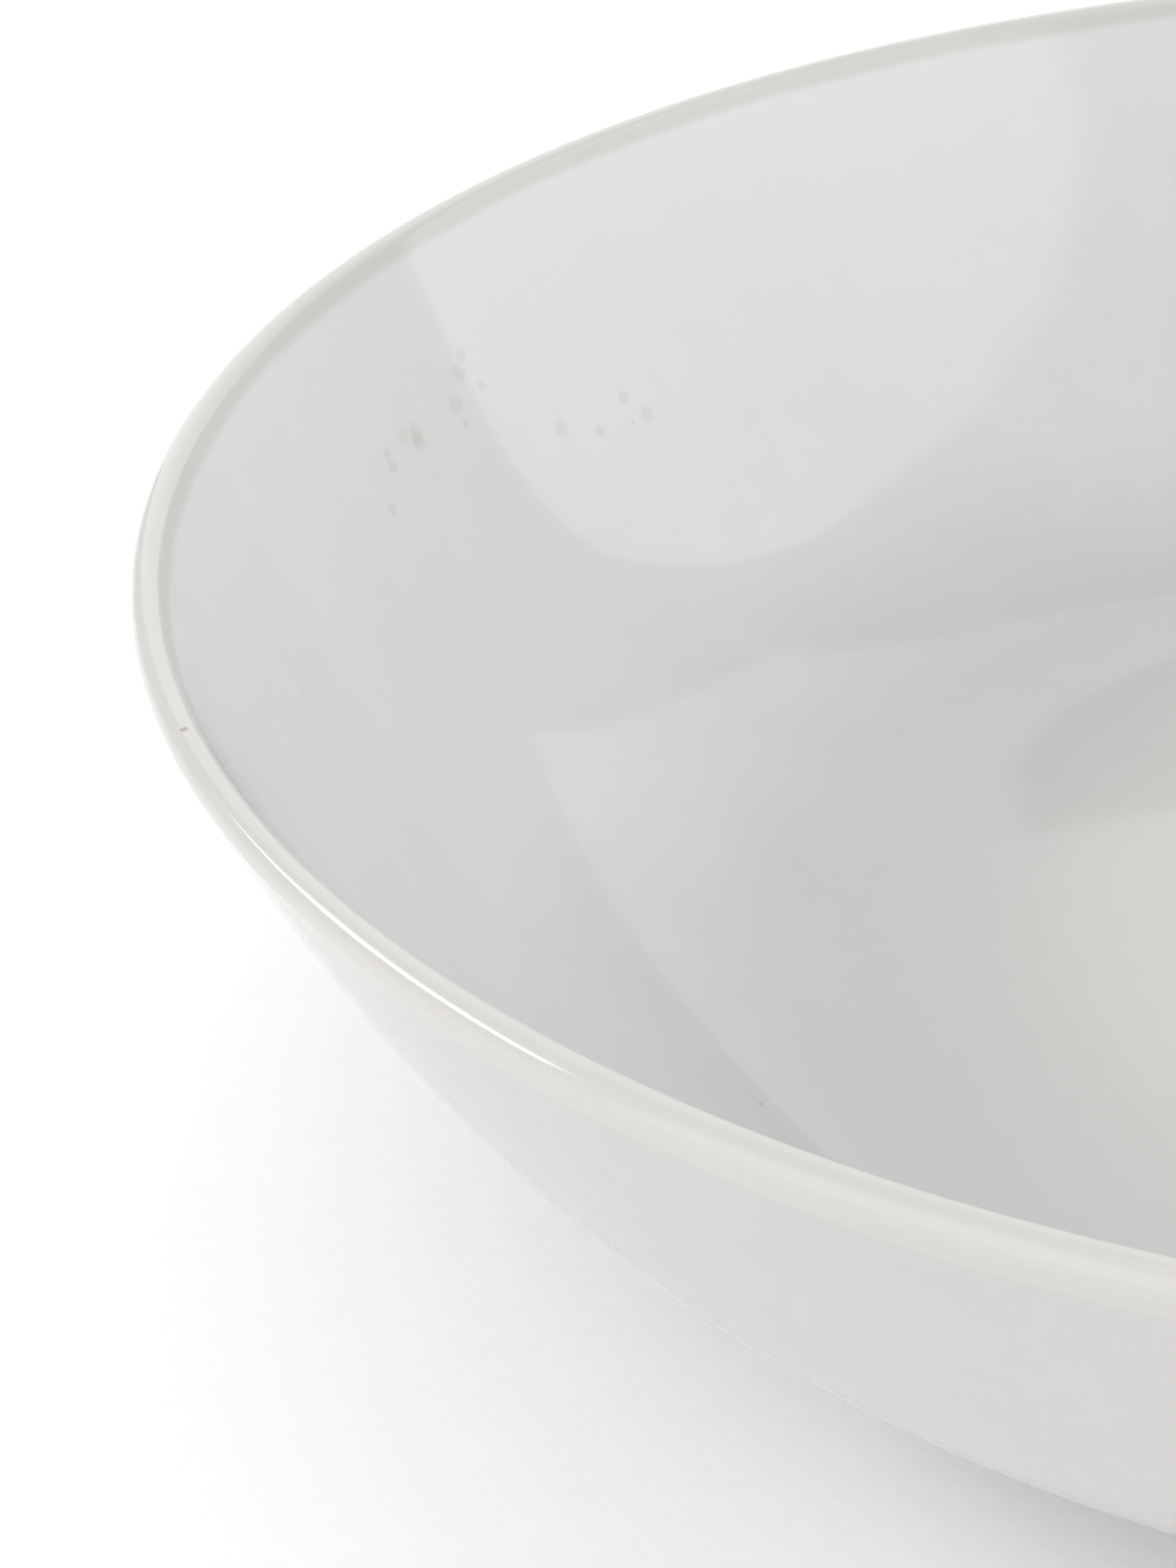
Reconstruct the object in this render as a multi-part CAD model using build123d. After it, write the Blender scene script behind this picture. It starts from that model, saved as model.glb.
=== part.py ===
from build123d import *
from math import cos, radians, sin, tan
import os

# Porcelain serving bowl on a foot ring, in millimetres. The origin is the centre of the
# foot ring's resting face and +Z points up the axis that the bowl was thrown about.
# Every piece is turned about that axis, so each one is a half section revolved once.

# Bowl, over its glaze
rim_diameter = 300.0
overall_height = 88.0
lip_thickness = 3.3          # the lip is a full round of this thickness
wall_lean = 19.3             # degrees off the vertical, just under the lip
upper_wall_pull = 0.567      # each face of the wall bends towards the corner between its lean
lower_wall_pull = 0.905      # and its flat: these are the shares of the way from either end
underside_flat_radius = 52.0
floor_thickness = 5.0
well_flat_radius = 58.0

# Foot ring
foot_diameter = 136.0
foot_height = 8.2            # from the resting face to the bowl's underside
foot_width = 4.8             # across the resting face, with its rounded edges
foot_draft = 6.0             # degrees that each side leans out from the base upwards
foot_edge_radius = 0.8

# Glaze
glaze_thickness = 0.4
bare_foot_band = 1.8         # height above the resting face that is wiped clean of glaze
glaze_pool_radius = 2.2      # glaze drawn into the corners between foot ring and bowl
lip_coat_depth = 16.0        # how far down each face the coat that wraps the lip reaches

touching = 1e-4              # two points this close in a section are the same point

lip_radius = lip_thickness / 2
lip_centre = Vector(rim_diameter / 2 - lip_radius, overall_height - lip_radius)
floor_level = foot_height + floor_thickness
coat_level = overall_height - lip_coat_depth


def on_circle(centre, radius, angle):
    """The point of a circle at an angle in degrees from the section's +X."""
    return centre + Vector(radius * cos(radians(angle)), radius * sin(radians(angle)))


def wall_face(side, inset):
    """One face of the wall from the lip's round down to its flat, as a curve in the section.

    side is +1 for the outer face and -1 for the inner one. inset is how far the face lies
    inside the glazed surface.
    """
    flat_radius = underside_flat_radius if side > 0 else well_flat_radius
    flat_level = foot_height + inset if side > 0 else floor_level - inset
    top = on_circle(lip_centre, side * (lip_radius - inset), -wall_lean)
    bottom = Vector(flat_radius, flat_level)
    corner = Vector(top.X - (top.Y - flat_level) * tan(radians(wall_lean)), flat_level)
    upper_handle = top + upper_wall_pull * (corner - top)
    lower_handle = bottom + lower_wall_pull * (corner - bottom)
    return Bezier(top, upper_handle, lower_handle, bottom)


def closed(edges):
    return Sketch() + make_face(edges)


def slab(bottom, top):
    """A rectangle across the whole section between two levels."""
    return Pos(0, bottom) * Rectangle(2 * rim_diameter, top - bottom, align=(Align.CENTER, Align.MIN))


def revolved(section):
    return revolve(Plane.XZ * section, Axis.Z)


def bowl_section(inset):
    """The bowl without its foot ring, every face lying inset below the glazed surface."""
    outer = wall_face(1, inset)
    inner = wall_face(-1, inset)
    under_axis = Vector(0, (outer @ 1).Y)
    floor_axis = Vector(0, (inner @ 1).Y)
    return closed([
        CenterArc(lip_centre, lip_radius - inset, -wall_lean, 180),
        outer,
        Line(outer @ 1, under_axis),
        Line(under_axis, floor_axis),
        Line(floor_axis, inner @ 1),
        inner,
    ])


def filled_section(side, inset, level):
    """All that one face of the wall surrounds, from its flat up to a level."""
    face = wall_face(side, inset)
    flat_axis = Vector(0, (face @ 1).Y)
    lid_axis = Vector(0, (face @ 0).Y)
    below_lip = closed([
        face,
        Line(face @ 1, flat_axis),
        Line(flat_axis, lid_axis),
        Line(lid_axis, face @ 0),
    ])
    return below_lip & slab(0, level)


def foot_side(base_radius, height, outward):
    """A point of the foot ring's side: outward is +1 on the outer side, -1 on the inner."""
    return (base_radius + outward * height * tan(radians(foot_draft)), height)


def foot_blank(bottom, coat):
    """The foot ring's section before it is cut to the bowl, with a coat on each side."""
    outer_radius = foot_diameter / 2 + coat
    inner_radius = foot_diameter / 2 - foot_width - coat
    return Sketch() + make_face(Polyline(
        foot_side(inner_radius, bottom, -1),
        foot_side(outer_radius, bottom, 1),
        foot_side(outer_radius, coat_level, 1),
        foot_side(inner_radius, coat_level, -1),
        close=True,
    ))


def foot_section():
    """The fired foot ring, its resting edges rounded and its top cut to the bowl."""
    blank = foot_blank(0, 0)
    resting = blank.vertices().group_by(Axis.Y)[0]
    rounded = fillet(resting, foot_edge_radius)
    return rounded - filled_section(1, glaze_thickness, overall_height)


def inner_glaze_section():
    """The coat on the floor and on the inner wall, up to the coat that wraps the lip."""
    clay = filled_section(-1, glaze_thickness, coat_level)
    return clay - filled_section(-1, 0, overall_height)


def lip_glaze_section():
    """The coat that wraps the lip and the top of the wall on both sides."""
    coat = bowl_section(0) - bowl_section(glaze_thickness)
    return coat & slab(coat_level, overall_height)


def underside_glazes():
    """The coats outside the foot ring and inside it, drawn into the corners of the foot."""
    outer_radius = foot_diameter / 2 + glaze_thickness
    inner_radius = foot_diameter / 2 - foot_width - glaze_thickness

    def is_corner(edge):
        point = edge.position_at(0)
        radius = (point.X**2 + point.Y**2) ** 0.5
        off_outer = radius - foot_side(outer_radius, point.Z, 1)[0]
        off_inner = radius - foot_side(inner_radius, point.Z, -1)[0]
        on_side = min(abs(off_outer), abs(off_inner)) < touching
        return on_side and point.Z > bare_foot_band + touching

    coated_foot = foot_blank(bare_foot_band, glaze_thickness)
    glazed = revolved(coated_foot + filled_section(1, 0, coat_level))
    rings = glazed.edges().filter_by(GeomType.CIRCLE).filter_by(Plane.XY)
    pooled = fillet(rings.filter_by(is_corner), glaze_pool_radius)
    fired = revolved(filled_section(1, glaze_thickness, overall_height) + foot_blank(0, 0))
    well, outer = (pooled - fired).solids().sort_by(lambda coat: coat.bounding_box().size.X)
    return outer, well


outer_glaze, foot_well_glaze = underside_glazes()
pieces = {
    "porcelain_body": revolved(bowl_section(glaze_thickness)),
    "foot_ring": revolved(foot_section()),
    "inner_glaze": revolved(inner_glaze_section()),
    "lip_glaze": revolved(lip_glaze_section()),
    "outer_glaze": outer_glaze,
    "foot_well_glaze": foot_well_glaze,
}

os.makedirs("parts", exist_ok=True)
for node, solid in pieces.items():
    export_step(solid, f"parts/{node}.step")
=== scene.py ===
import math
import random

import bpy
from mathutils import Matrix, Vector, noise


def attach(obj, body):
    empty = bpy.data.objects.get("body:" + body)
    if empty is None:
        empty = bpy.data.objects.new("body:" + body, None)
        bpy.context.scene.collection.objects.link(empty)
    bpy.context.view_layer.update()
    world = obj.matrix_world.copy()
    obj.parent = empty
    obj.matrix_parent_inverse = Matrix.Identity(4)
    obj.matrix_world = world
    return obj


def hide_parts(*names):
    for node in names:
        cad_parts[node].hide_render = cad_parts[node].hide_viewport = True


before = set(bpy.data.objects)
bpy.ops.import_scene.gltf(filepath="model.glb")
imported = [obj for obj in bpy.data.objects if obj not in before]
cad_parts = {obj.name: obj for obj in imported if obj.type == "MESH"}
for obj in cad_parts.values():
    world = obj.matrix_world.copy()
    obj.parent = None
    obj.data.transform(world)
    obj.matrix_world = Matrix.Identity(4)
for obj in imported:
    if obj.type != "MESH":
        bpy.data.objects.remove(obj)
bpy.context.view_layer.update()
print("frame loaded:", sorted(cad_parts))

# The bowl's turned form, the same sizes as the CAD model, in metres and degrees
bowlForm = {
    "rimRadius": 0.150,
    "height": 0.088,
    "lipThickness": 0.0033,
    "wallLean": 19.3,
    "upperWallPull": 0.567,
    "lowerWallPull": 0.905,
    "undersideFlat": 0.052,
    "wellFlat": 0.058,
    "floorThickness": 0.005,
    "glaze": 0.0004,
    "lipCoatDepth": 0.016,
}
footForm = {
    "radius": 0.068,
    "height": 0.0082,
    "width": 0.0048,
    "draft": 6.0,
    "edgeRadius": 0.0008,
    "bareBand": 0.0018,
    "poolRadius": 0.0022,
    "glazeLineWaver": 0.00035,  # how far the wiped glaze line wanders up and down
    "waverScale": 2.4,          # how often it turns on its way round
}
turning = {
    "stepsRound": 480,
    "stepsDownWall": 72,
    "stepsAcrossFlat": 4,
    "stepsRoundLip": 28,
    "stepsInPool": 10,
    "stepsInEdge": 6,
    "onAxis": 1e-7,   # a point nearer the axis than this is on it
    "sameDigits": 8,  # points that agree to this many digits are one point
}

lipRadius = bowlForm["lipThickness"] / 2
lipCentre = Vector((bowlForm["rimRadius"] - lipRadius, bowlForm["height"] - lipRadius))
lean = math.radians(bowlForm["wallLean"])
coatLevel = bowlForm["height"] - bowlForm["lipCoatDepth"]
floorLevel = footForm["height"] + bowlForm["floorThickness"]


# A turned outline is a list of (point, normal) pairs in the half section: x is the radius
def facing(angle):
    return Vector((math.cos(angle), math.sin(angle)))


def roundOutline(centre, radius, start, end, steps, outward=1):
    turns = [start + (end - start) * step / steps for step in range(steps + 1)]
    return [(centre + facing(turn) * radius, facing(turn) * outward) for turn in turns]


def wallOutline(side, inset):  # side is 1 outside and -1 inside, from the lip to the axis
    flat = bowlForm["undersideFlat"] if side > 0 else bowlForm["wellFlat"]
    level = footForm["height"] + inset if side > 0 else floorLevel - inset
    top = lipCentre + facing(-lean) * side * (lipRadius - inset)
    corner = Vector((top.x - (top.y - level) * math.tan(lean), level))
    bottom = Vector((flat, level))
    pulls = [
        top,
        top.lerp(corner, bowlForm["upperWallPull"]),
        bottom.lerp(corner, bowlForm["lowerWallPull"]),
        bottom,
    ]
    outline = []
    for step in range(turning["stepsDownWall"] + 1):
        t = step / turning["stepsDownWall"]
        s = 1 - t
        point = pulls[0] * s**3 + pulls[1] * 3 * s * s * t + pulls[2] * 3 * s * t * t + pulls[3] * t**3
        along = (
            (pulls[1] - pulls[0]) * s * s
            + (pulls[2] - pulls[1]) * 2 * s * t
            + (pulls[3] - pulls[2]) * t * t
        ).normalized()
        outline.append((point, Vector((-along.y, along.x)) * side))
    for step in reversed(range(turning["stepsAcrossFlat"])):
        point = Vector((flat * step / turning["stepsAcrossFlat"], level))
        outline.append((point, Vector((0, -side))))
    return outline


def crossing(outline, measure):  # the first place along an outline where a measure turns positive
    for (a, na), (b, nb) in zip(outline, outline[1:]):
        before, after = measure(a, na), measure(b, nb)
        if before <= 0 < after:
            share = before / (before - after)
            return a.lerp(b, share), na.lerp(nb, share).normalized()
    raise ValueError("the outline never crosses")


def splitAt(outline, measure):
    cut = crossing(outline, measure)
    first = [pair for pair in outline if measure(*pair) <= 0]
    return first + [cut], [cut] + outline[len(first):]


def belowCoat(point, normal):
    return coatLevel - point.y


def glazeLineRise(turn):  # the hand-wiped line wanders a little round the foot
    around = Vector((math.cos(turn), math.sin(turn), 0)) * footForm["waverScale"]
    return footForm["glazeLineWaver"] * noise.noise(around)


def pointKey(point):
    return (round(point.x, turning["sameDigits"]), round(point.y, turning["sameDigits"]))


def turned(name, runs, drifting=()):
    # Revolves runs of outline about the axis. Runs that meet share their corner points, and
    # every corner keeps the outline's own normals, so neighbouring pieces shade as one surface.
    vertices, rings, faces, normals = [], {}, [], []
    steps = turning["stepsRound"]
    turns = [2 * math.pi * step / steps for step in range(steps)]
    driftKeys = {pointKey(point) for point in drifting}

    def ring(point):
        key = pointKey(point)
        if key in rings:
            return rings[key]
        first = len(vertices)
        if point.x < turning["onAxis"]:
            vertices.append((0, 0, point.y))
            rings[key] = [first] * steps
            return rings[key]
        for turn in turns:
            rise = glazeLineRise(turn) if key in driftKeys else 0
            vertices.append((point.x * math.cos(turn), point.x * math.sin(turn), point.y + rise))
        rings[key] = list(range(first, first + steps))
        return rings[key]

    for run in runs:
        for (a, na), (b, nb) in zip(run, run[1:]):
            upper, lower = ring(a), ring(b)
            if upper == lower:
                continue
            along = b - a
            outwards = Vector((-along.y, along.x)).dot(na + nb) > 0
            for here in range(steps):
                there = (here + 1) % steps
                corners = [
                    (upper[here], na, here),
                    (lower[here], nb, here),
                    (lower[there], nb, there),
                    (upper[there], na, there),
                ]
                if a.x < turning["onAxis"]:
                    corners.pop(3)
                elif b.x < turning["onAxis"]:
                    corners.pop(2)
                if not outwards:
                    corners.reverse()
                faces.append([corner[0] for corner in corners])
                for _, n, at in corners:
                    normals.append((n.x * math.cos(turns[at]), n.x * math.sin(turns[at]), n.y))
    mesh = bpy.data.meshes.new(name)
    mesh.from_pydata(vertices, [], faces)
    mesh.polygons.foreach_set("use_smooth", [True] * len(faces))
    mesh.normals_split_custom_set(normals)
    piece = bpy.data.objects.new(name, mesh)
    bpy.context.scene.collection.objects.link(piece)
    return piece


def flipped(outline):
    return [(point, -normal) for point, normal in outline]


def backwards(outline):
    return flipped(outline)[::-1]


def straight(a, b, normal):
    return [(a, normal), (b, normal)]


# A wire is one value in a material's tree
class Wire:
    def __init__(self, bench, socket):
        self.bench = bench
        self.socket = socket

    def maths(self, operation, *values):
        return self.bench.add("Math", {"operation": operation}, dict(enumerate(values)))

    def __add__(self, other):
        return self.maths("ADD", self, other)

    def __sub__(self, other):
        return self.maths("SUBTRACT", self, other)

    def __mul__(self, other):
        return self.maths("MULTIPLY", self, other)

    def __truediv__(self, other):
        return self.maths("DIVIDE", self, other)

    def __pow__(self, other):
        return self.maths("POWER", self, other)

    def __rsub__(self, other):
        return self.maths("SUBTRACT", other, self)

    def __rtruediv__(self, other):
        return self.maths("DIVIDE", other, self)

    def __rpow__(self, other):
        return self.maths("POWER", other, self)

    __radd__ = __add__
    __rmul__ = __mul__

    def wave(self):
        return self.maths("SINE", self)

    def larger(self, other):
        return self.maths("MAXIMUM", self, other)

    def sibling(self, output):  # another output of the same node
        return Wire(self.bench, self.socket.node.outputs[output])


class Bench:  # where one material's nodes are put together
    def __init__(self, tree):
        self.tree = tree
        tree.nodes.clear()

    def add(self, kind, settings, values, output=0):
        node = self.tree.nodes.new("ShaderNode" + kind)
        for setting, value in settings.items():
            if setting == "stops":
                while len(node.color_ramp.elements) < len(value):
                    node.color_ramp.elements.new(0.5)
                for element, (position, colour) in zip(node.color_ramp.elements, value):
                    element.position = position
                    element.color = colour
            else:
                setattr(node, setting, value)
        for name, value in values.items():
            if isinstance(value, Wire):
                self.tree.links.new(value.socket, node.inputs[name])
            else:
                node.inputs[name].default_value = value
        return Wire(self, node.outputs[output])

    def ramp(self, value, low, high):  # 0 below low, 1 above high, smooth between
        values = {"Value": value, "From Min": low, "From Max": high, "To Min": 0.0, "To Max": 1.0}
        return self.add("MapRange", {"interpolation_type": "SMOOTHSTEP"}, values)

    def blend(self, share, first, second):  # a Mix node's colour sockets are 6, 7 and output 2
        colours = {0: share, 6: first, 7: second}
        return self.add("Mix", {"data_type": "RGBA"}, colours, 2)

    def tint(self, colour, factor):  # a colour times a grey value
        return self.add("VectorMath", {"operation": "SCALE"}, {0: colour, "Scale": factor})

    def parts(self, vector):  # the three numbers of a vector
        x = self.add("SeparateXYZ", {}, {0: vector})
        return x, x.sibling("Y"), x.sibling("Z")

    def gap(self, first, second):  # the distance between two points
        return self.add("VectorMath", {"operation": "DISTANCE"}, {0: first, 1: second}, "Value")

    def dots(self, at, look):  # 1 on the dots of a few cells, with a second chance value a cell
        cells = self.add("TexVoronoi", {}, {"Vector": at, "Scale": look["scale"], "Randomness": 1.0})
        chance = self.add("SeparateColor", {}, {0: cells.sibling("Color")})
        dot = (1 - self.ramp(cells, *look["reach"])) * self.ramp(chance, *look["rarity"])
        return dot, chance.sibling("Green")

    def cloud(self, at, scale, detail=2.0, roughness=0.5):
        values = {"Vector": at, "Scale": scale, "Detail": detail, "Roughness": roughness}
        return self.add("TexNoise", {}, values)

    def bump(self, height, distance, below=None):
        values = {"Height": height, "Distance": distance, "Strength": 1.0}
        if below:
            values["Normal"] = below
        return self.add("Bump", {}, values)


def rgb(*channels):
    return (*channels, 1.0)


def newBench(owner):  # owner is a material or the world
    owner.use_nodes = True
    return Bench(owner.node_tree)


glazeLook = {
    "well": rgb(0.594, 0.602, 0.569),  # the glaze in the well; its grey is the glaze's own, its yellow-green tint a painted reflection
    # painted shade: the concave bend between wall and well is coloured darker where it is shaded
    "shadedBend": rgb(0.515, 0.519, 0.513),
    "inside": rgb(0.628, 0.633, 0.633),
    "outside": rgb(0.516, 0.509, 0.500),
    "thinOverLip": rgb(0.552, 0.539, 0.512),
    "poolAtFoot": rgb(0.49, 0.492, 0.475),
    "iron": rgb(0.30, 0.17, 0.07),
    "brownDot": rgb(0.40, 0.28, 0.20),
    "pinhole": rgb(0.16, 0.15, 0.13),
    "wellEnds": 0.28,  # shares of the rim's radius, where one inner tone passes to the next
    # where the painted shade of the bend begins and ends
    "shadedBendStarts": 0.50,
    "shadedBendEnds": 0.57,
    "wallStarts": 0.78,
    "toneWaver": 0.012,            # metres that those borders wander
    "lipThinning": (0.0019, 0.0030),  # metres from the middle of the lip's round
    "lipWaver": 0.0012,
    "footPool": (0.0085, 0.016),   # heights
    "mottle": 0.05,                # share of the value that drifts in soft clouds
    "mottleScale": 26.0,
    "fineMottle": 0.025,
    "fineMottleScale": 156.0,
    "specks": {"scale": 55.0, "reach": (0.008, 0.024), "rarity": (0.86, 0.90), "strength": 0.75},
    "pits": {"scale": 140.0, "reach": (0.006, 0.03), "rarity": (0.93, 0.95), "strength": 0.45},
    "pitDepth": 0.00003,
    "roughness": 0.07,
    "roughnessDrift": 0.05,
    "smearScale": 38.0,
    "orangePeel": 0.0000022,       # metres
    "orangePeelScale": 150.0,
    "throwing": 0.000007,
    "throwingRings": 900.0,        # radians of the ring wave to a metre of height
    "ringWanderScale": 9.0,
    "ringWander": 5.0,
    "reflectance": 0.5,
}

# Faint marks in the glaze: patches at chosen places, the marks in each one scattered by a fixed
# seed. A patch has a side (-1 inner face, 1 outer), the turn about the axis and the height of its
# middle, how wide (degrees) and tall it is to each side of that, and how many marks it holds
markLook = {
    "seed": 11,
    "brownDot": {"strength": 0.14, "reach": (0.0011, 0.0019), "patches": [
        {"side": -1, "turn": 175, "wide": 8, "height": 0.066, "tall": 0.005, "count": 12},
        {"side": -1, "turn": 158, "wide": 5, "height": 0.054, "tall": 0.002, "count": 4},
        {"side": -1, "turn": 0, "wide": 90, "height": 0.055, "tall": 0.020, "count": 2},
        {"side": 1, "turn": 60, "wide": 100, "height": 0.060, "tall": 0.015, "count": 3},
    ]},
    "pinhole": {"strength": 0.28, "reach": (0.0004, 0.0006), "patches": [
        {"side": -1, "turn": 0, "wide": 180, "height": 0.045, "tall": 0.030, "count": 8},
        {"side": 1, "turn": 0, "wide": 180, "height": 0.060, "tall": 0.025, "count": 4},
    ]},
    "lipRust": {"strength": 0.6, "reach": 0.0005, "turns": (-140, 25)},
}


def scattered(look, draws):  # the marks of every patch, each as side, turn, height and reach
    found = []
    for patch in look["patches"]:
        for _ in range(patch["count"]):
            turn = patch["turn"] + patch["wide"] * draws.uniform(-1, 1)
            height = patch["height"] + patch["tall"] * draws.uniform(-1, 1)
            found.append((patch["side"], turn, height, draws.uniform(*look["reach"])))
    return found


def onLip(turnDegrees):
    turn = math.radians(turnDegrees)
    return (lipCentre.x * math.cos(turn), lipCentre.x * math.sin(turn), bowlForm["height"])


def onFace(side, turnDegrees, height):
    point, _ = crossing(wallOutline(side, 0), lambda p, n: height - p.y)
    turn = math.radians(turnDegrees)
    return (point.x * math.cos(turn), point.x * math.sin(turn), point.y)


def glazeMaterial(name, look):
    material = bpy.data.materials.new(name)
    bench = newBench(material)
    place = bench.add("TexCoord", {}, {}, "Object")
    x, y, height = bench.parts(place)
    radius = (x * x + y * y) ** 0.5
    clouds = bench.cloud(place, look["mottleScale"], 3.0)
    fineClouds = bench.cloud(place, look["fineMottleScale"])

    # the coat thins over the lip, by the distance in the section from the middle of its round
    fromLip = ((radius - lipCentre.x) ** 2 + (height - lipCentre.y) ** 2) ** 0.5
    thin = 1 - bench.ramp(fromLip + (clouds - 0.5) * look["lipWaver"], *look["lipThinning"])
    # normals tell the inner face from the outer one where one coat wraps the lip
    nx, ny, _ = bench.parts(bench.add("NewGeometry", {}, {}, "Normal"))
    outwards = bench.ramp((nx * x + ny * y) / radius.larger(0.001), -0.2, 0.2)

    # from the axis out: the well, its yellow-green tint a painted reflection, then painted shade
    # darkening the concave bend, then the wall
    across = (radius + (clouds - 0.5) * look["toneWaver"]) / bowlForm["rimRadius"]
    inner = bench.add("ValToRGB", {"stops": [
        (look["wellEnds"], look["well"]),
        (look["shadedBendStarts"], look["shadedBend"]),
        (look["shadedBendEnds"], look["shadedBend"]),
        (look["wallStarts"], look["inside"]),
    ]}, {0: across})
    nearFoot = 1 - bench.ramp(height, *look["footPool"])
    outer = bench.blend(nearFoot, look["outside"], look["poolAtFoot"])
    colour = bench.blend(outwards, inner, outer)
    colour = bench.blend(thin, colour, look["thinOverLip"])
    drift = 1 + (clouds - 0.5) * look["mottle"] + (fineClouds - 0.5) * look["fineMottle"]
    colour = bench.tint(colour, drift)

    # iron specks and pits scattered through the glaze, then the patches of marks
    speck, size = bench.dots(place, look["specks"])
    colour = bench.blend(speck * size * look["specks"]["strength"], colour, look["iron"])
    pit, _ = bench.dots(place, look["pits"])
    colour = bench.blend(pit * look["pits"]["strength"], colour, look["pinhole"])
    draws = random.Random(markLook["seed"])
    for kind in ("brownDot", "pinhole"):
        for side, turn, level, reach in scattered(markLook[kind], draws):
            away = bench.gap(place, onFace(side, turn, level)) + (fineClouds - 0.5) * reach
            mark = 1 - bench.ramp(away, reach * 0.35, reach)
            colour = bench.blend(mark * markLook[kind]["strength"], colour, look[kind])
    rust = markLook["lipRust"]
    for turn in rust["turns"]:
        mark = 1 - bench.ramp(bench.gap(place, onLip(turn)), rust["reach"] * 0.5, rust["reach"])
        colour = bench.blend(mark * rust["strength"], colour, look["iron"])

    # throwing rings run round the wall; orange peel and pits break up the gloss
    wander = bench.cloud(place, look["ringWanderScale"]) * look["ringWander"]
    rings = (height * look["throwingRings"] + wander).wave() * bench.ramp(clouds, 0.3, 0.8)
    surface = bench.bump(rings, look["throwing"])
    peel = bench.cloud(place, look["orangePeelScale"], 1.0)
    surface = bench.bump(peel, look["orangePeel"], surface)
    surface = bench.bump(1 - pit, look["pitDepth"], surface)
    smears = bench.cloud(place, look["smearScale"], 4.0, 0.6)
    shader = bench.add("BsdfPrincipled", {}, {
        "Base Color": colour,
        "Roughness": look["roughness"] + (smears - 0.4).larger(0) * look["roughnessDrift"],
        "IOR": 1.5,
        "Specular IOR Level": look["reflectance"],
        "Normal": surface,
    })
    finishTree(bench, shader)
    return material


def finishTree(bench, shader, kind="Material"):
    output = bench.tree.nodes.new("ShaderNodeOutput" + kind)
    bench.tree.links.new(shader.socket, output.inputs["Surface"])


clayLook = {
    "fired": rgb(0.78, 0.755, 0.70),
    "dusty": rgb(0.66, 0.62, 0.55),
    "worn": rgb(0.50, 0.46, 0.40),
    "blotchScale": 70.0,
    "contactHeights": (0.0002, 0.0012),  # where the resting face rubs on a table
    "wear": 0.6,
    "roughness": 0.62,
    "grainScale": 900.0,
    "grain": 0.00006,                    # metres
}


def clayMaterial(name, look):
    material = bpy.data.materials.new(name)
    bench = newBench(material)
    place = bench.add("TexCoord", {}, {}, "Object")
    _, _, height = bench.parts(place)
    grain = bench.cloud(place, look["grainScale"], 4.0, 0.65)
    blotches = bench.cloud(place, look["blotchScale"], 4.0, 0.6)
    colour = bench.blend(bench.ramp(blotches, 0.35, 0.75), look["fired"], look["dusty"])
    contact = (1 - bench.ramp(height, *look["contactHeights"])) * bench.ramp(blotches, 0.4, 0.65)
    colour = bench.blend(contact * look["wear"], colour, look["worn"])
    colour = bench.tint(colour, 0.94 + grain * 0.12)
    shader = bench.add("BsdfPrincipled", {}, {
        "Base Color": colour,
        "Roughness": look["roughness"] + (grain - 0.5) * 0.2,
        "Normal": bench.bump(grain, look["grain"]),
    })
    finishTree(bench, shader)
    return material


# The turned pieces
glaze = bowlForm["glaze"]
under, clayUnder = wallOutline(1, 0), wallOutline(1, glaze)
inside, clayInside = wallOutline(-1, 0), wallOutline(-1, glaze)
lipInner, wellAndWall = splitAt(inside, belowCoat)
lipClayInner, clayWellAndWall = splitAt(clayInside, belowCoat)
lipOuter, wallUnder = splitAt(under, belowCoat)
lipClayOuter, clayWallUnder = splitAt(clayUnder, belowCoat)
upward, downward = Vector((0, 1)), Vector((0, -1))


def footSide(outward, coat):
    # a line up the foot's side: a point on it at height zero, its direction and its normal
    draft = math.radians(footForm["draft"])
    base = footForm["radius"] if outward > 0 else footForm["radius"] - footForm["width"]
    direction = Vector((outward * math.sin(draft), math.cos(draft)))
    normal = Vector((outward * math.cos(draft), -math.sin(draft)))
    return Vector((base + outward * coat, 0)), direction, normal


def atHeight(side, height):
    start, direction, _ = side
    return start + direction * ((height - start.y) / direction.y)


def footMeets(outward, coat, outline, clearance):
    # where an outline, moved out by clearance, comes that near to the foot's side
    start, direction, normal = footSide(outward, coat)
    if outward > 0:
        return crossing(outline, lambda p, n: clearance - (p + n * clearance - start).dot(normal))
    return crossing(outline, lambda p, n: (p + n * clearance - start).dot(normal) - clearance)


def turnOf(direction):
    return math.atan2(direction.y, direction.x)


def footCoat(outward, outline, clayOutline, wallRun, clayRun):
    # the coat down one side of the foot, from the pooled corner to the wiped glaze line
    side = footSide(outward, glaze)
    touch, touchNormal = footMeets(outward, glaze, outline, footForm["poolRadius"])
    centre = touch + touchNormal * footForm["poolRadius"]
    start, end = turnOf(-touchNormal), turnOf(-side[2])
    if end - start > math.pi:
        end -= 2 * math.pi
    if start - end > math.pi:
        end += 2 * math.pi
    pool = roundOutline(centre, footForm["poolRadius"], start, end, turning["stepsInPool"], -1)
    edgeTop = atHeight(side, footForm["bareBand"] + glaze)
    rollStart = turnOf(side[2])
    rollEnd = rollStart - outward * math.pi / 2
    roll = roundOutline(edgeTop - side[2] * glaze, glaze, rollStart, rollEnd, turning["stepsInEdge"])
    clayCorner, _ = footMeets(outward, 0, clayOutline, 0)
    runs = [
        wallRun + [(touch, touchNormal)],
        pool,
        straight(pool[-1][0], edgeTop, side[2]),
        roll,
        straight(roll[-1][0], clayCorner, -side[2]),
        [(clayCorner, -clayRun[0][1])] + flipped(clayRun),
    ]
    return runs, [point for point, _ in roll] + [edgeTop]


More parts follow.
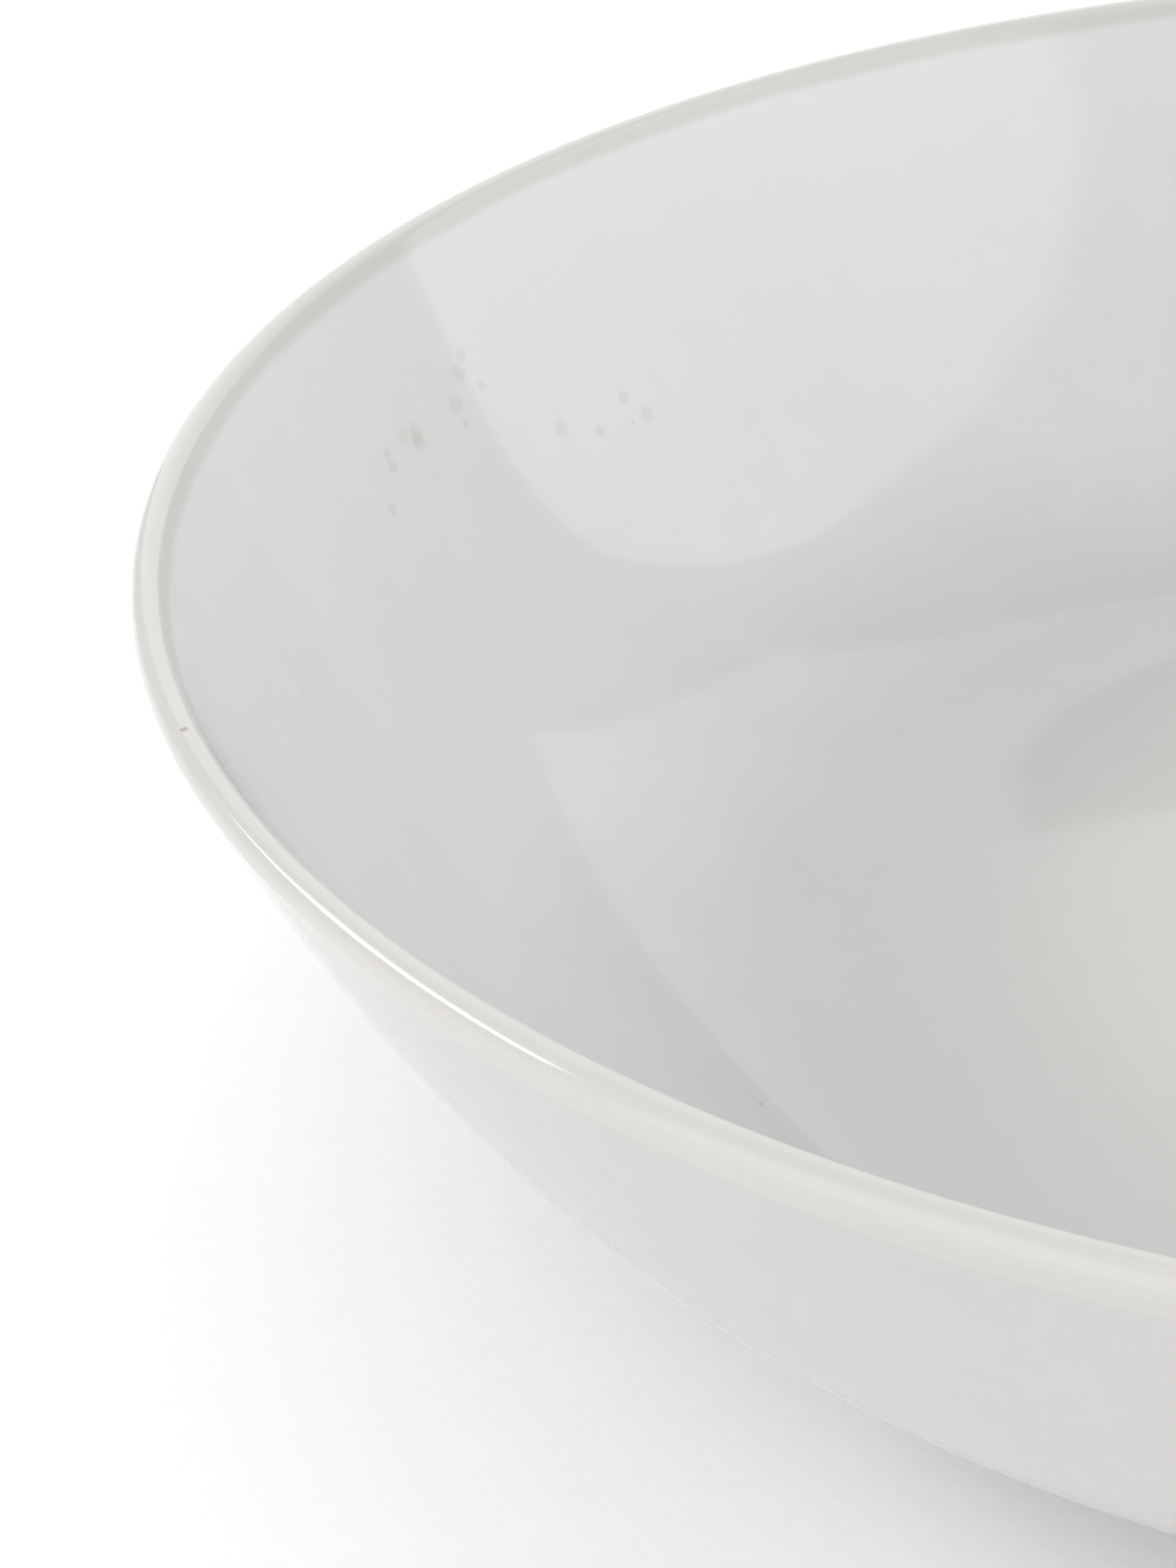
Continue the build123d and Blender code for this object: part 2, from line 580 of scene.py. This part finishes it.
def upToFoot(outline, outward, coat, clearance):
    # the part of an under face that lies on one side of the foot
    touch, _ = footMeets(outward, coat, outline, clearance)
    if outward > 0:
        return [pair for pair in outline if pair[0].x > touch.x]
    return [pair for pair in outline if pair[0].x < touch.x]


innerGlaze = turned("innerGlaze", [
    wellAndWall,
    backwards(clayWellAndWall),
    straight(clayWellAndWall[0][0], wellAndWall[0][0], upward),
])
lipSteps = turning["stepsRoundLip"]
lipRound = roundOutline(lipCentre, lipRadius, math.pi - lean, -lean, lipSteps)
lipClay = roundOutline(lipCentre, lipRadius - glaze, -lean, math.pi - lean, lipSteps, -1)
lipGlaze = turned("lipGlaze", [
    lipInner[::-1],
    lipRound,
    lipOuter,
    straight(lipOuter[-1][0], lipClayOuter[-1][0], downward),
    backwards(lipClayOuter),
    lipClay,
    flipped(lipClayInner),
    straight(lipClayInner[-1][0], lipInner[-1][0], downward),
])
outerRuns, outerLine = footCoat(
    1, under, clayUnder,
    upToFoot(wallUnder, 1, glaze, footForm["poolRadius"]),
    upToFoot(clayWallUnder, 1, 0, 0)[::-1],
)
outerRuns.append(straight(clayWallUnder[0][0], wallUnder[0][0], upward))
outerGlaze = turned("outerGlaze", outerRuns, outerLine)
wellRuns, wellLine = footCoat(
    -1, under, clayUnder,
    upToFoot(under, -1, glaze, footForm["poolRadius"])[::-1],
    upToFoot(clayUnder, -1, 0, 0),
)
footWellGlaze = turned("footWellGlaze", wellRuns, wellLine)

outerSide, innerSide = footSide(1, 0), footSide(-1, 0)
edge = footForm["edgeRadius"]
draft = math.radians(footForm["draft"])
outerEdge = atHeight(outerSide, edge) - outerSide[2] * edge
innerEdge = atHeight(innerSide, edge) - innerSide[2] * edge
outerEdge.y = innerEdge.y = edge  # both edge rounds touch the resting face
outerMeet, _ = footMeets(1, 0, clayUnder, 0)
innerMeet, _ = footMeets(-1, 0, clayUnder, 0)
footTop = flipped(pair for pair in clayUnder if innerMeet.x < pair[0].x < outerMeet.x)
outerTurn = roundOutline(outerEdge, edge, -draft, -math.pi / 2, turning["stepsInEdge"])
innerTurn = roundOutline(innerEdge, edge, -math.pi / 2, draft - math.pi, turning["stepsInEdge"])
footRing = turned("footRing", [
    straight(outerMeet, outerTurn[0][0], outerSide[2]),
    outerTurn,
    straight(outerTurn[-1][0], innerTurn[0][0], downward),
    innerTurn,
    straight(innerTurn[-1][0], innerMeet, innerSide[2]),
    [(innerMeet, upward)] + footTop[::-1] + [(outerMeet, upward)],
])
print("turned pieces made")

glazeFinish = glazeMaterial("porcelainGlaze", glazeLook)
clayFinish = clayMaterial("bareClay", clayLook)
visible = [
    (innerGlaze, "inner_glaze", "inner_glaze", glazeFinish),
    (lipGlaze, "lip_glaze", "lip_glaze", glazeFinish),
    (outerGlaze, "outer_glaze", "outer_glaze", glazeFinish),
    (footWellGlaze, "foot_well_glaze", "foot_well_glaze", glazeFinish),
    (footRing, "foot_ring", "bare_foot", clayFinish),
]
for piece, node, slot, finish in visible:
    piece.data.materials.append(finish)
    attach(piece, "root")
    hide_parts(node)
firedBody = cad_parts["porcelain_body"]
for materialSlot in firedBody.material_slots:
    materialSlot.material = clayFinish
print("finishes on")

floorLook = {
    "reach": 6.0,
    "colour": rgb(0.915, 0.913, 0.909),
    "grainScale": 420.0,
    "grain": 0.03,
    "grainHeight": 0.0001,  # metres
    "roughness": 0.75,
    "reflectance": 0.3,
}


def floorPlane(look):
    mesh = bpy.data.meshes.new("floor")
    half = look["reach"]
    corners = [(-half, -half, 0), (half, -half, 0), (half, half, 0), (-half, half, 0)]
    mesh.from_pydata(corners, [], [(0, 1, 2, 3)])
    floor = bpy.data.objects.new("floor", mesh)
    bpy.context.scene.collection.objects.link(floor)
    material = bpy.data.materials.new("palePaper")
    bench = newBench(material)
    place = bench.add("TexCoord", {}, {}, "Object")
    grain = bench.cloud(place, look["grainScale"], 5.0, 0.7)
    colour = bench.tint(look["colour"][:3], 1 + (grain - 0.5) * look["grain"])
    shader = bench.add("BsdfPrincipled", {}, {
        "Base Color": colour,
        "Roughness": look["roughness"],
        "Specular IOR Level": look["reflectance"],
        "Normal": bench.bump(grain, look["grainHeight"]),
    })
    finishTree(bench, shader)
    mesh.materials.append(material)


floorPlane(floorLook)

# Soft panels round the bowl, in an even room
studio = {
    "room": rgb(1.0, 1.0, 1.0),
    "roomStrength": 0.705,
    "panelDistance": 2.2,
    # corners of each panel: degrees round from ahead to the right, degrees up, and degrees of
    # soft edge outside the corner, where the glow fades into the room
    "panels": {
        "sidePanel": {"radiance": 1.9, "corners": [
            (51, 1, 0.5), (50, 25, 0.5), (52, 38, 1), (58, 47, 2), (76, 49, 4),
            (98, 46, 6), (116, 38, 8), (127, 27, 8), (123, 14, 6), (120, 1, 3),
        ]},
        "aheadPanel": {"radiance": 1.45, "corners": [
            (-45, 1, 3), (-45, 50, 3), (6, 54, 0.7), (29, 46, 0.7), (26, 18, 0.5), (27, 1, 0.5),
        ]},
        "leftPanel": {"radiance": 7.5, "corners": [
            (-112, 29, 3), (-108, 39, 3), (-76, 39, 3), (-72, 29, 3),
        ]},
        "frontPanel": {"radiance": 1.65, "corners": [
            (145, 3, 5), (145, 50, 5), (235, 50, 5), (235, 3, 5),
        ]},
        "topPanel": {"radiance": 1.6, "corners": [
            (200, 76, 3), (110, 76, 3), (20, 76, 3), (-70, 76, 3),
        ]},
    },
}


def towards(azimuth, elevation):
    a, e = math.radians(azimuth), math.radians(elevation)
    return Vector((math.sin(a) * math.cos(e), math.cos(a) * math.cos(e), math.sin(e)))


def softPanel(name, look, panel):  # a flat glowing panel that faces the bowl, fading at its edge
    corners = panel["corners"]
    away = sum((towards(*corner[:2]) for corner in corners), Vector()).normalized()
    reach = look["panelDistance"]
    lit = [towards(*corner[:2]) * reach / towards(*corner[:2]).dot(away) for corner in corners]
    middle = sum(lit, Vector()) / len(lit)
    faded = []
    for point, corner in zip(lit, corners):
        outward = (point - middle).normalized()
        faded.append(point + outward * reach * math.radians(corner[2]))
    count = len(corners)
    faces = [list(range(count))]
    faces += [(at, (at + 1) % count, (at + 1) % count + count, at + count) for at in range(count)]
    mesh = bpy.data.meshes.new(name)
    mesh.from_pydata(lit + faded, [], faces)
    glow = mesh.attributes.new("glow", "FLOAT", "POINT")
    glow.data.foreach_set("value", [1.0] * count + [0.0] * count)
    holder = bpy.data.objects.new(name, mesh)
    bpy.context.scene.collection.objects.link(holder)
    holder.visible_camera = False
    material = bpy.data.materials.new(name)
    bench = newBench(material)
    share = bench.add("Attribute", {"attribute_name": "glow"}, {}, "Fac")
    above = panel["radiance"] - look["roomStrength"]
    glowing = bench.tint(look["room"][:3], look["roomStrength"] + bench.ramp(share, 0.0, 1.0) * above)
    finishTree(bench, bench.add("Emission", {}, {"Color": glowing, "Strength": 1.0}))
    mesh.materials.append(material)


def lightRoom(look):
    world = bpy.data.worlds.new("room")
    bpy.context.scene.world = world
    bench = newBench(world)
    shader = bench.add("Background", {}, {"Color": look["room"], "Strength": look["roomStrength"]})
    finishTree(bench, shader, "World")
    for name, panel in look["panels"].items():
        softPanel(name, look, panel)


lightRoom(studio)
print("floor and light ready")

view = {
    "distance": 0.2985,      # from the middle of the rim
    "rise": 23.015,          # degrees above the rim's plane
    "turn": -22.562,
    "down": 31.420,
    "roll": -6.999,
    "lens": 60.0,
    "sensor": 36.0,
    "nearest": 0.01,
}


def placeCamera(look):
    rise, turn, down, roll = (math.radians(look[key]) for key in ("rise", "turn", "down", "roll"))
    spot = Vector((0, -math.cos(rise), math.sin(rise))) * look["distance"]
    spot.z += bowlForm["height"]
    ahead = Vector((math.sin(turn), math.cos(turn), 0)) * math.cos(down)
    ahead.z = -math.sin(down)
    right = Vector((math.cos(turn), -math.sin(turn), 0))
    up = right.cross(ahead)
    tiltedRight = right * math.cos(roll) + up * math.sin(roll)
    tiltedUp = up * math.cos(roll) - right * math.sin(roll)
    data = bpy.data.cameras.new("camera")
    data.lens = look["lens"]
    data.sensor_width = look["sensor"]
    data.clip_start = look["nearest"]
    camera = bpy.data.objects.new("camera", data)
    bpy.context.scene.collection.objects.link(camera)
    facings = Matrix((tiltedRight, tiltedUp, -ahead)).transposed().to_4x4()
    camera.matrix_world = Matrix.Translation(spot) @ facings
    bpy.context.scene.camera = camera


placeCamera(view)
bpy.context.scene.view_settings.view_transform = "Standard"

print("scene ready")
